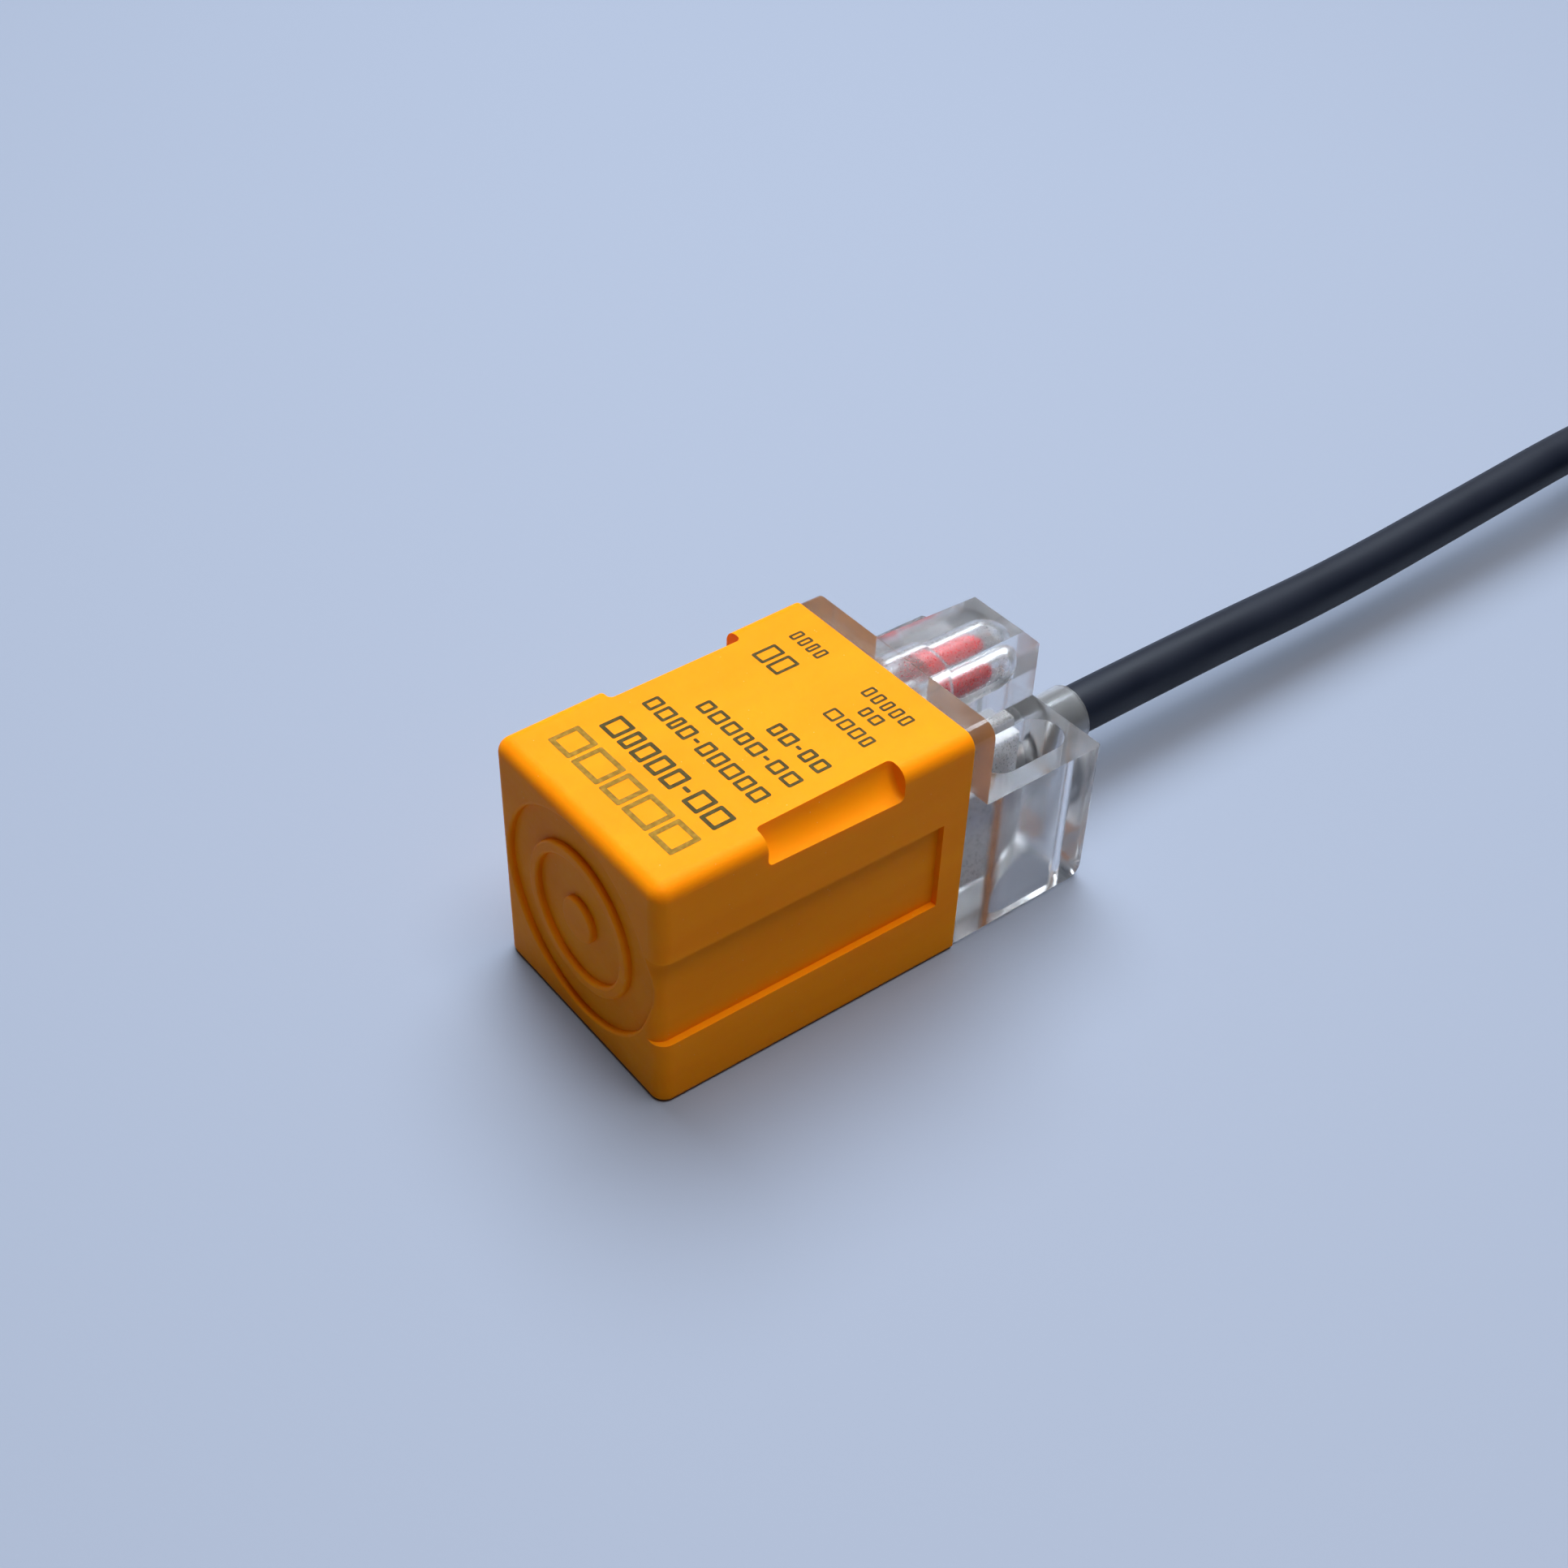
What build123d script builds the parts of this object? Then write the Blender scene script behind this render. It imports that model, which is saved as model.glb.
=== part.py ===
from build123d import *
import os
from math import cos, pi, radians, sin, tan

# ---------------------------------------------------------------------------
# Driving dimensions, in millimetres.
# X is the width, the sensing face looks along -Y, the cable leaves along +Y,
# +Z is up. The origin is under the middle of the sensor, on its mounting side.
# ---------------------------------------------------------------------------
body_width = 17.0
body_height = 17.0
cap_length = 22.0
cover_length = 11.2
collar_length = 6.2
overall_length = cap_length + cover_length + collar_length

front_y = -overall_length / 2
cap_end = front_y + cap_length
cover_end = cap_end + cover_length
collar_end = cover_end + collar_length

# amber cap: tapers towards the front on both sides and on top
side_taper = 0.35
top_taper = 0.30
front_width = body_width - 2 * side_taper
front_height = body_height - top_taper
face_edge_radius = 0.2
notch_corner_radius = 0.35
cap_edge_radius = 0.95
base_edge_radius = 0.35
pocket_size = 14.0
pocket_axis_z = 8.4
pocket_corner_radius = 0.8
front_wall = 1.3
face_recess_radius = 7.15
face_recess_depth = 0.4
face_axis_z = 8.5
target_ring_radius = 5.0
target_ring_width = 0.8
target_dot_radius = 1.5
panel_bottom_z = 4.75
panel_top_z = 11.25
panel_length = 20.2
panel_depth = 0.45
left_panel_start = 1.6
notch_start = 7.3
notch_end = 16.85
notch_top_x = 6.95
notch_low_z = 14.85
rail_height = 0.6
rail_width = 1.4

# clear rear cover
cover_inset = 0.1
cover_gap = 0.03
flange_thickness = 1.7
flange_corner_radius = 1.0
ear_height = 11.0
ear_base_radius = 1.0
ear_corner_radius = 0.25
slot_width = 3.2
slot_length = 6.7
slot_pitch = 10.8
slot_centre_y = front_y + 28.95
spigot_depth = 2.5
spigot_size = pocket_size - 0.1
spigot_wall = 1.2
spigot_corner_radius = 0.7
chamber_width = 5.2
chamber_bottom_z = 1.5
chamber_top_z = 9.5
chamber_radius = 0.4
rear_wall = 1.8
window_front_width = 4.9
window_rear_width = 4.4
window_front_height = 16.85
window_rear_height = 16.65
window_chamfer = 1.6
led_axis_z = 13.7
led_bore_radius = 1.65
led_bore_end = cover_end - 1.0
led_seat_radius = 2.05
led_seat_end = front_y + 26.15
collar_radius = 2.1

# cable: three cores in one round sheath
cable_diameter = 3.5
cable_axis_z = 5.1
cable_bore_radius = 1.83
sheath_bore_radius = 1.3
sheath_end = cover_end - 4.6
core_diameter = 1.1
core_circle = 0.66
crimp_length = 1.8
crimp_wall = 0.5

# sensing coil, in an open pot core behind the sensing face
core_radius = 6.8
core_depth = 4.1
core_base = 1.5
core_rim = 1.1
post_radius = 2.9
core_rear = front_y + front_wall + core_depth
bobbin_clearance = 0.05
bobbin_wall = 0.4
coil_lead_diameter = 0.3
coil_lead_hole_radius = 0.35
coil_lead_x = 1.5
coil_lead_z = pocket_axis_z + 4.2

# circuit board and its components
board_thickness = 1.0
board_width = 12.4
board_bottom_z = 10.6
board_front = front_y + 6.4
board_rear = cap_end - 2.9
board_top_z = board_bottom_z + board_thickness
coil_pad_y = board_front + 0.7
core_pad_y = board_rear - 3.4
core_pad_pitch = 2.2
core_pad_height = 0.8
led_pad_height = 0.6
coil_pad_height = 0.3
lead_metal = 0.2
ic_centre = (-2.7, -8.6)
ic_length = 4.9
ic_width = 3.9
ic_height = 1.4
ic_standoff = 0.15
ic_pitch = 1.27
ic_lead_width = 0.42
transistor_centre = (3.2, -10.0)
transistor_length = 4.5
transistor_width = 2.5
transistor_height = 1.5
transistor_lead_pitch = 1.5
tantalum_centre = (3.4, -6.6)
tantalum_size = (3.5, 2.8, 1.7)
diode_size = (4.3, 2.6, 2.0)
polarity_diode_centre = (-3.2, -3.9)
surge_diode_centre = (3.2, -3.9)
terminal_height = 1.2
terminal_width = 1.4
terminal_metal = 0.2
terminal_foot = 0.9
chip_length = 1.6
chip_cap_length = 0.3
chip_width = 0.8
resistor_height = 0.45
capacitor_height = 0.8
resistor_grid_centre = (-2.0, -9.5)
capacitor_grid_centre = (4.2, -9.5)

# LED, 3 mm round, lying along the window block
led_radius = 1.5
led_length = 5.3
led_flange_radius = 1.9
led_flange_length = 1.0
led_base = front_y + 25.05
led_lead_x = 1.27
led_lead_y = board_rear - 1.0
led_lead_size = 0.45
led_lead_bend = 0.7
led_hole_radius = 0.4

# free cable: straight out of the collar, down to the table, then wound for storage
turn_radii = [13.95, 17.45, 20.95, 24.45]
coil_layers = 4
coil_x, coil_y = 20.0, 112.5
coil_inner_radius = turn_radii[0] - cable_diameter / 2
coil_outer_radius = turn_radii[-1] + cable_diameter / 2
coil_mean_radius = (coil_inner_radius + coil_outer_radius) / 2
coil_section = coil_outer_radius - coil_inner_radius
coil_height = coil_layers * cable_diameter
coil_edge_radius = 1.5
tie_width = 2.6
tie_thickness = 0.6
tie_head = (4.6, 4.2, 3.2)
tie_angles = [150, 330]
coil_top_turn_z = tie_thickness + coil_height - cable_diameter / 2
floor_cable_z = cable_diameter / 2
cable_route = [
    (0, collar_end, cable_axis_z),
    (0, 32, 5.1),
    (0, 47, 4.6),
    (-0.3, 63, 5.1),
    (-0.7, 79, 5.5),
    (-1.8, 91, 3.6),
    (-3.3, 101, 2.5),
    (-4.45, 107.5, tie_thickness + floor_cable_z),
]
tail_route = [
    (coil_x, coil_y + turn_radii[-1], coil_top_turn_z),
    (33, 136.5, 12),
    (43.5, 129.2, 8),
    (49, 117, 3.8),
    (49, 102.8, floor_cable_z),
    (46, 89.6, floor_cable_z),
]

# stripped cores at the free end; each step is a distance along, one sideways and a height
end_core_straight = 4.0
end_core_steps = {
    "end_core_brown": [(11, -2.0, 1.1), (19, -4.9, 0.55), (27, -7.6, 0.55), (34, -8.6, 0.55)],
    "end_core_black": [(11, -0.1, 1.7), (19, 0.6, 0.65), (27, 0.2, 0.55), (35, -1.2, 0.55)],
    "end_core_blue": [(11, 2.1, 1.2), (18, 5.0, 0.55), (26, 7.1, 0.55), (33, 7.4, 0.55)],
}
tip_length = 6.0
tip_diameter = 0.6


def section(y):
    """The plane across the sensor at this y: its x is +X, its y is +Z, and it faces -Y."""
    return Plane.XZ.offset(-y)


def corner_radii(points):
    """One bend radius for each inner point: as large as the two runs beside it allow."""
    radii = []
    for before, here, after in zip(points, points[1:], points[2:]):
        run_in = Vector(*here) - Vector(*before)
        run_out = Vector(*after) - Vector(*here)
        half_turn = radians(run_in.get_angle(run_out)) / 2
        shorter = min(run_in.length, run_out.length)
        radii.append(0.45 * shorter / tan(half_turn))
    return radii


def tube_along(name, points, diameter):
    """A round tube along straight runs joined by tangent arcs. Prints how it came out."""
    radii = corner_radii(points)
    with BuildPart() as tube:
        with BuildLine():
            path = FilletPolyline(*points, radius=radii)
        with BuildSketch(Plane(path @ 0, z_dir=path % 0)):
            Circle(diameter / 2)
        sweep(path=path)
    expected = pi * (diameter / 2) ** 2 * path.length
    print(
        f"{name}: length {path.length:.1f}, bend radii {[round(radius, 1) for radius in radii]},",
        f"volume {tube.part.volume:.1f} against {expected:.1f}",
    )
    return tube.part


def tapered_block(ends_y, widths, tops, bottom_z):
    """A flat-sided block that tapers in width and in height from its front end to its rear."""
    front, rear = ends_y
    with BuildPart() as tapered:
        with BuildSketch(Plane.YZ):
            with BuildLine():
                Polyline(
                    (front, bottom_z),
                    (rear, bottom_z),
                    (rear, tops[1]),
                    (front, tops[0]),
                    close=True,
                )
            make_face()
        extrude(amount=max(widths) / 2, both=True)
        with BuildSketch(Plane.XY.offset(bottom_z)):
            with BuildLine():
                Polyline(
                    (-widths[0] / 2, front),
                    (widths[0] / 2, front),
                    (widths[1] / 2, rear),
                    (-widths[1] / 2, rear),
                    close=True,
                )
            make_face()
        extrude(amount=max(tops) - bottom_z, mode=Mode.INTERSECT)
    return tapered.part


def block(centre, size, bottom_z):
    """An upright block standing at this height."""
    with BuildPart() as standing:
        with BuildSketch(Plane.XY.offset(bottom_z)):
            with Locations(centre):
                Rectangle(size[0], size[1])
        extrude(amount=size[2])
    return standing.part


# ---------------------------------------------------------------------------
# Amber cap
# ---------------------------------------------------------------------------
# shallow recess in each side: the right one runs out over the front corner, with a floor that
# rounds it, and the left one stops short of the corner
panel_height = panel_top_z - panel_bottom_z
with BuildPart() as side_recesses:
    with BuildSketch(Plane.XY.offset(panel_bottom_z)):
        with Locations((0, front_y + panel_length)):
            Rectangle(body_width, panel_length + 1, align=(Align.MIN, Align.MAX))
            Rectangle(body_width, panel_length - left_panel_start, align=(Align.MAX, Align.MAX))
    extrude(amount=panel_height)
    with BuildSketch(Plane.XY.offset(panel_bottom_z)) as recess_floors:
        with BuildLine():
            Polyline(
                (panel_depth - front_width / 2, front_y),
                (front_width / 2 - panel_depth, front_y),
                (body_width / 2 - panel_depth, cap_end),
                (panel_depth - body_width / 2, cap_end),
                close=True,
            )
        make_face()
        fillet(recess_floors.vertices().group_by(Axis.Y)[0], cap_edge_radius)
    extrude(amount=panel_height, mode=Mode.SUBTRACT)

# hollowed notch in each long top edge, with rounded corners at both ends of its floor
notch_run = body_width / 2 - notch_top_x
notch_drop = body_height - notch_low_z
notch_outside = body_width / 2 + notch_run
with BuildPart() as notch_cutters:
    with BuildSketch(section(front_y + notch_start)):
        with BuildLine():
            inner_wall = Line((notch_top_x, body_height + notch_drop), (notch_top_x, body_height))
            floor_arc = TangentArc(
                inner_wall @ 1, (body_width / 2, notch_low_z), tangent=inner_wall % 1
            )
            floor_end = floor_arc % 1
            Polyline(
                floor_arc @ 1,
                (notch_outside, notch_low_z + notch_run * floor_end.Y / floor_end.X),
                (notch_outside, body_height + notch_drop),
                inner_wall @ 0,
            )
        make_face()
    extrude(amount=-(notch_end - notch_start))
    notch_rims = notch_cutters.faces().filter_by(Axis.Y).edges()
    notch_rims = notch_rims.filter_by(lambda edge: edge.center().X < notch_outside - 0.01)
    notch_top = body_height + notch_drop
    fillet(notch_rims.filter_by(lambda edge: edge.center().Z < notch_top - 0.01), notch_corner_radius)
    mirror(about=Plane.YZ)

with BuildPart() as cap_housing:
    ends_y = (front_y, cap_end)
    add(tapered_block(ends_y, (front_width, body_width), (front_height, body_height), 0))
    lengthwise = cap_housing.edges().filter_by(lambda edge: edge.length > cap_length - 1)
    face_edges = cap_housing.faces().sort_by(Axis.Y)[0].edges()
    upper_face_edges = face_edges.filter_by(lambda edge: edge.center().Z > front_height / 4)
    fillet(lengthwise.group_by(Axis.Z)[-1] + upper_face_edges, cap_edge_radius)
    base_edges = cap_housing.faces().sort_by(Axis.Z)[0].edges()
    fillet(base_edges.filter_by(lambda edge: edge.center().Y < cap_end - 0.5), base_edge_radius)

    # pocket for the coil and the board, open at the rear
    with BuildSketch(section(cap_end)):
        with Locations((0, pocket_axis_z)):
            RectangleRounded(pocket_size, pocket_size, pocket_corner_radius)
    extrude(amount=cap_length - front_wall, mode=Mode.SUBTRACT)

    add(side_recesses.part, mode=Mode.SUBTRACT)

    add(notch_cutters.part, mode=Mode.SUBTRACT)

    # round recess in the sensing face, with a plain raised ring and dot
    with BuildSketch(section(front_y)):
        with Locations((0, face_axis_z)):
            Circle(face_recess_radius)
            Circle(target_ring_radius, mode=Mode.SUBTRACT)
            Circle(target_ring_radius - target_ring_width)
            Circle(target_dot_radius, mode=Mode.SUBTRACT)
    extrude(amount=-face_recess_depth, mode=Mode.SUBTRACT)
    face_circles = cap_housing.edges().filter_by(GeomType.CIRCLE).group_by(Axis.Y)[0]
    fillet(face_circles, face_edge_radius)

    # rails under the edges of the board
    with BuildSketch(section(board_front)):
        with Locations((0, board_bottom_z - rail_height / 2)):
            Rectangle(pocket_size, rail_height)
            Rectangle(pocket_size - 2 * rail_width, rail_height, mode=Mode.SUBTRACT)
    extrude(amount=-(board_rear - board_front))

# ---------------------------------------------------------------------------
# Clear rear cover: flange, ears, window block, collar, and a spigot inside the cap
# ---------------------------------------------------------------------------
cover_width = body_width - 2 * cover_inset
cover_start = cap_end + cover_gap
with BuildPart() as window_block:
    ends_y = (cover_start, cover_end)
    widths = (window_front_width, window_rear_width)
    tops = (window_front_height, window_rear_height)
    add(tapered_block(ends_y, widths, tops, chamber_top_z))
    rear_edges = window_block.edges().filter_by(Axis.X).group_by(Axis.Y)[-1]
    chamfer(rear_edges.sort_by(Axis.Z)[-1], window_chamfer)

with BuildPart() as rear_cover:
    with BuildSketch(section(cover_start)) as flange_outline:
        with Locations((0, body_height / 2)):
            Rectangle(cover_width, cover_width)
        fillet(flange_outline.vertices().group_by(Axis.Y)[-1], flange_corner_radius)
    extrude(amount=cover_gap - flange_thickness)
    with BuildSketch(section(cover_start)):
        with Locations((0, cover_inset)):
            Rectangle(cover_width, ear_height - cover_inset, align=(Align.CENTER, Align.MIN))
    extrude(amount=cover_gap - cover_length)
    rear_edges = rear_cover.faces().sort_by(Axis.Y)[-1].edges()
    fillet(rear_edges.filter_by(Axis.X).sort_by(Axis.Z)[0], ear_base_radius)
    rear_edges = rear_cover.faces().sort_by(Axis.Y)[-1].edges()
    fillet(rear_edges.filter_by(Axis.Z), ear_corner_radius)

    add(window_block.part)

    with BuildSketch(section(cover_start)):
        with Locations((0, pocket_axis_z)):
            RectangleRounded(spigot_size, spigot_size, spigot_corner_radius)
            RectangleRounded(
                spigot_size - 2 * spigot_wall,
                spigot_size - 2 * spigot_wall,
                spigot_corner_radius / 2,
                mode=Mode.SUBTRACT,
            )
    extrude(amount=spigot_depth)
    with BuildSketch(section(cover_end)):
        with Locations((0, cable_axis_z)):
            Circle(collar_radius)
    extrude(amount=-collar_length)

    # cable chamber, cable bore, LED bore and its wider seat, and the slots in the ears
    with BuildSketch(section(cap_end)):
        with Locations((0, (chamber_bottom_z + chamber_top_z) / 2)):
            RectangleRounded(chamber_width, chamber_top_z - chamber_bottom_z, chamber_radius)
    extrude(amount=-(cover_length - rear_wall), mode=Mode.SUBTRACT)
    with BuildSketch(section(collar_end)):
        with Locations((0, cable_axis_z)):
            Circle(cable_bore_radius)
    extrude(amount=collar_length + rear_wall, mode=Mode.SUBTRACT)
    led_bore_round = led_bore_end - led_bore_radius
    with BuildSketch(section(led_bore_round)):
        with Locations((0, led_axis_z)):
            Circle(led_bore_radius)
    extrude(amount=led_bore_round - cap_end, mode=Mode.SUBTRACT)
    with Locations((0, led_bore_round, led_axis_z)):
        Sphere(led_bore_radius, mode=Mode.SUBTRACT)
    with BuildSketch(section(led_seat_end)):
        with Locations((0, led_axis_z)):
            Circle(led_seat_radius)
    extrude(amount=led_seat_end - cap_end + spigot_depth, mode=Mode.SUBTRACT)
    with BuildSketch(Plane.XY):
        with Locations((-slot_pitch / 2, slot_centre_y), (slot_pitch / 2, slot_centre_y)):
            SlotOverall(slot_length, slot_width, rotation=90)
    extrude(amount=ear_height, mode=Mode.SUBTRACT)

# ---------------------------------------------------------------------------
# Sensing coil
# ---------------------------------------------------------------------------
coil_lead_places = [(-coil_lead_x, coil_lead_z), (coil_lead_x, coil_lead_z)]
groove_outer_radius = core_radius - core_rim
with BuildPart() as ferrite_core:
    with BuildSketch(section(core_rear)):
        with Locations((0, pocket_axis_z)):
            Circle(core_radius)
    extrude(amount=core_depth)
    with BuildSketch(section(core_rear - core_base)):
        with Locations((0, pocket_axis_z)):
            Circle(groove_outer_radius)
            Circle(post_radius, mode=Mode.SUBTRACT)
    extrude(amount=core_depth - core_base, mode=Mode.SUBTRACT)
    with BuildSketch(section(core_rear)):
        with Locations(*coil_lead_places):
            Circle(coil_lead_hole_radius)
    extrude(amount=core_base, mode=Mode.SUBTRACT)

bobbin_inner = post_radius + bobbin_clearance
bobbin_outer = groove_outer_radius - bobbin_clearance
bobbin_rear = core_rear - core_base - bobbin_clearance
bobbin_front = front_y + front_wall + bobbin_clearance
winding_rear = bobbin_rear - bobbin_wall
with BuildPart() as coil_bobbin:
    with BuildSketch(section(bobbin_rear)):
        with Locations((0, pocket_axis_z)):
            Circle(bobbin_outer)
            Circle(bobbin_inner, mode=Mode.SUBTRACT)
    extrude(amount=bobbin_rear - bobbin_front)
    with BuildSketch(section(winding_rear)):
        with Locations((0, pocket_axis_z)):
            Circle(bobbin_outer)
            Circle(bobbin_inner + bobbin_wall, mode=Mode.SUBTRACT)
    extrude(amount=winding_rear - bobbin_front - bobbin_wall, mode=Mode.SUBTRACT)
    with BuildSketch(section(bobbin_rear)):
        with Locations(*coil_lead_places):
            Circle(coil_lead_hole_radius)
    extrude(amount=bobbin_wall, mode=Mode.SUBTRACT)

with BuildPart() as coil_winding:
    with BuildSketch(section(winding_rear)):
        with Locations((0, pocket_axis_z)):
            Circle(bobbin_outer - bobbin_wall / 2)
            Circle(bobbin_inner + bobbin_wall, mode=Mode.SUBTRACT)
    extrude(amount=winding_rear - bobbin_front - bobbin_wall)

with BuildPart() as coil_leads:
    for side in (-1, 1):
        lead_x = side * coil_lead_x
        lead_route = [
            (lead_x, winding_rear, coil_lead_z),
            (lead_x, coil_pad_y, coil_lead_z),
            (lead_x, coil_pad_y, board_top_z + coil_pad_height),
        ]
        add(tube_along("coil lead", lead_route, coil_lead_diameter))

# ---------------------------------------------------------------------------
# Circuit board and its components
# ---------------------------------------------------------------------------
led_lead_places = [(-led_lead_x, led_lead_y), (led_lead_x, led_lead_y)]
core_pad_places = [(step * core_pad_pitch, core_pad_y) for step in (-1, 0, 1)]
with BuildPart() as circuit_board:
    with BuildSketch(Plane.XY.offset(board_bottom_z)):
        with Locations((0, (board_front + board_rear) / 2)):
            Rectangle(board_width, board_rear - board_front)
        with Locations(*led_lead_places):
            Circle(led_hole_radius, mode=Mode.SUBTRACT)
    extrude(amount=board_thickness)

with BuildPart() as sensor_ic:
    add(block(ic_centre, (ic_length, ic_width, ic_height), board_top_z + ic_standoff))
    chamfer(sensor_ic.edges().filter_by(Axis.X).group_by(Axis.Z)[-1].sort_by(Axis.Y)[0], 0.3)

with BuildPart() as ic_leads:
    for side in (-1, 1):
        for index in range(4):
            lead_x = ic_centre[0] + (index - 1.5) * ic_pitch
            body_side = (lead_x, ic_centre[1] + side * ic_width / 2, board_top_z)
            with BuildSketch(Plane(body_side, x_dir=(0, side, 0), z_dir=(side, 0, 0))):
                with BuildLine():
                    Polyline(
                        (0, 0.85),
                        (0.5, 0.85),
                        (0.65, lead_metal),
                        (1.15, lead_metal),
                        (1.15, 0),
                        (0.5, 0),
                        (0.35, 0.65),
                        (0, 0.65),
                        close=True,
                    )
                make_face()
            extrude(amount=ic_lead_width / 2, both=True)

with BuildPart() as output_transistor:
    size = (transistor_length, transistor_width, transistor_height)
    add(block(transistor_centre, size, board_top_z + lead_metal))

with BuildPart() as transistor_leads:
    front_side = transistor_centre[1] - transistor_width / 2
    rear_side = transistor_centre[1] + transistor_width / 2
    for index in (-1, 0, 1):
        foot = (transistor_centre[0] + index * transistor_lead_pitch, front_side - 0.1)
        add(block(foot, (0.5, 1.4, lead_metal), board_top_z))
    add(block((transistor_centre[0], rear_side), (1.7, 1.2, lead_metal), board_top_z))

with BuildPart() as tantalum_capacitor:
    add(block(tantalum_centre, tantalum_size, board_top_z + terminal_metal))

with BuildPart() as polarity_diode:
    add(block(polarity_diode_centre, diode_size, board_top_z + terminal_metal))

with BuildPart() as surge_diode:
    add(block(surge_diode_centre, diode_size, board_top_z + terminal_metal))

with BuildPart() as block_terminals:
    for centre, size in (
        (tantalum_centre, tantalum_size),
        (polarity_diode_centre, diode_size),
        (surge_diode_centre, diode_size),
    ):
        for side in (-1, 1):
            end_x = centre[0] + side * size[0] / 2
            with BuildSketch(
                Plane((end_x, centre[1], board_top_z), x_dir=(side, 0, 0), z_dir=(0, -side, 0))
            ):
                with BuildLine():
                    Polyline(
                        (-terminal_foot, 0),
                        (terminal_metal, 0),
                        (terminal_metal, terminal_height),
                        (0, terminal_height),
                        (0, terminal_metal),
                        (-terminal_foot, terminal_metal),
                        close=True,
                    )
                make_face()
            extrude(amount=terminal_width / 2, both=True)

resistor_places = [
    (resistor_grid_centre[0] + 2.4 * column, resistor_grid_centre[1] + 1.7 * row)
    for column in (-1, 0, 1)
    for row in (-1, 0, 1)
]
capacitor_places = [
    (capacitor_grid_centre[0], capacitor_grid_centre[1] + 1.7 * row) for row in (-1, 0, 1)
]
chip_groups = [(resistor_places, resistor_height), (capacitor_places, capacitor_height)]
chip_body_length = chip_length - 2 * chip_cap_length
with BuildPart() as chip_resistors:
    for place in resistor_places:
        size = (chip_body_length, chip_width, resistor_height)
        add(block(place, size, board_bottom_z - resistor_height))

with BuildPart() as chip_capacitors:
    for place in capacitor_places:
        size = (chip_body_length, chip_width, capacitor_height)
        add(block(place, size, board_bottom_z - capacitor_height))

with BuildPart() as chip_end_caps:
    for places, height in chip_groups:
        for x, y in places:
            for side in (-1, 1):
                end = (x + side * (chip_length - chip_cap_length) / 2, y)
                size = (chip_cap_length, chip_width, height)
                add(block(end, size, board_bottom_z - height))

with BuildPart() as solder_joints:
    joint_axes = [(x, y, core_pad_height) for x, y in core_pad_places]
    joint_axes += [(x, y, led_pad_height) for x, y in led_lead_places]
    for x, y, height in joint_axes:
        with Locations((x, y, board_bottom_z - height / 2)):
            Cone(core_diameter / 2, 0.8, height)
    for side in (-1, 1):
        with Locations((side * coil_lead_x, coil_pad_y, board_top_z + coil_pad_height / 2)):
            Cone(0.6, 0.3, coil_pad_height)

# ---------------------------------------------------------------------------
# Indicator LED
# ---------------------------------------------------------------------------
with BuildPart() as indicator_led:
    with BuildSketch(section(led_base)):
        with Locations((0, led_axis_z)):
            Circle(led_flange_radius)
    extrude(amount=-led_flange_length)
    with BuildSketch(section(led_base)):
        with Locations((0, led_axis_z)):
            Circle(led_radius)
    extrude(amount=-(led_length - led_radius))
    with Locations((0, led_base + led_length - led_radius, led_axis_z)):
        Sphere(led_radius)

with BuildPart() as led_leads:
    for side in (-1, 1):
        with BuildLine():
            lead_path = FilletPolyline(
                (side * led_lead_x, led_base, led_axis_z),
                (side * led_lead_x, led_lead_y, led_axis_z),
                (side * led_lead_x, led_lead_y, board_bottom_z),
                radius=led_lead_bend,
            )
        with BuildSketch(Plane(lead_path @ 0, z_dir=lead_path % 0)):
            Rectangle(led_lead_size, led_lead_size)
        sweep(path=lead_path)

# ---------------------------------------------------------------------------
# Cable end inside the cover
# ---------------------------------------------------------------------------
with BuildPart() as cable_entry:
    with BuildSketch(section(sheath_end)):
        with Locations((0, cable_axis_z)):
            Circle(cable_diameter / 2)
            Circle(sheath_bore_radius, mode=Mode.SUBTRACT)
    extrude(amount=-(collar_end - sheath_end))

with BuildPart() as cable_crimp:
    with BuildSketch(section(cover_end - rear_wall)):
        with Locations((0, cable_axis_z)):
            Circle(cable_diameter / 2 + crimp_wall)
            Circle(cable_diameter / 2, mode=Mode.SUBTRACT)
    extrude(amount=crimp_length)

core_names = ["core_brown", "core_black", "core_blue"]
core_offsets = [
    (core_circle * cos(radians(angle)), core_circle * sin(radians(angle)))
    for angle in (210, 90, 330)
]
inner_cores = {}
for name, (aside, up), (pad_x, pad_y) in zip(core_names, core_offsets, core_pad_places):
    core_route = [
        (aside, collar_end, cable_axis_z + up),
        (aside, cap_end + 3.7, cable_axis_z + up),
        (pad_x, pad_y + 2.6, cable_axis_z + 0.5),
        (pad_x, pad_y, cable_axis_z + 2.3),
        (pad_x, pad_y, board_bottom_z - core_pad_height),
    ]
    with BuildPart() as inner_core:
        add(tube_along(name, core_route, core_diameter))
    inner_cores[name] = inner_core

# ---------------------------------------------------------------------------
# Free cable, its stored coil and ties, and its stripped end
# ---------------------------------------------------------------------------
with BuildPart() as cable_coil:
    with BuildSketch(Plane.XY.offset(tie_thickness)):
        with Locations((coil_x, coil_y)):
            Circle(coil_outer_radius)
            Circle(coil_inner_radius, mode=Mode.SUBTRACT)
    extrude(amount=coil_height)
    fillet(cable_coil.edges().filter_by(GeomType.CIRCLE), coil_edge_radius)

with BuildPart() as cable_sheath:
    add(tube_along("cable_sheath", cable_route, cable_diameter))
    add(cable_coil.part, mode=Mode.SUBTRACT)

with BuildPart() as cable_tail:
    add(tube_along("cable_tail", tail_route, cable_diameter))
    add(cable_coil.part, mode=Mode.SUBTRACT)

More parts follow.
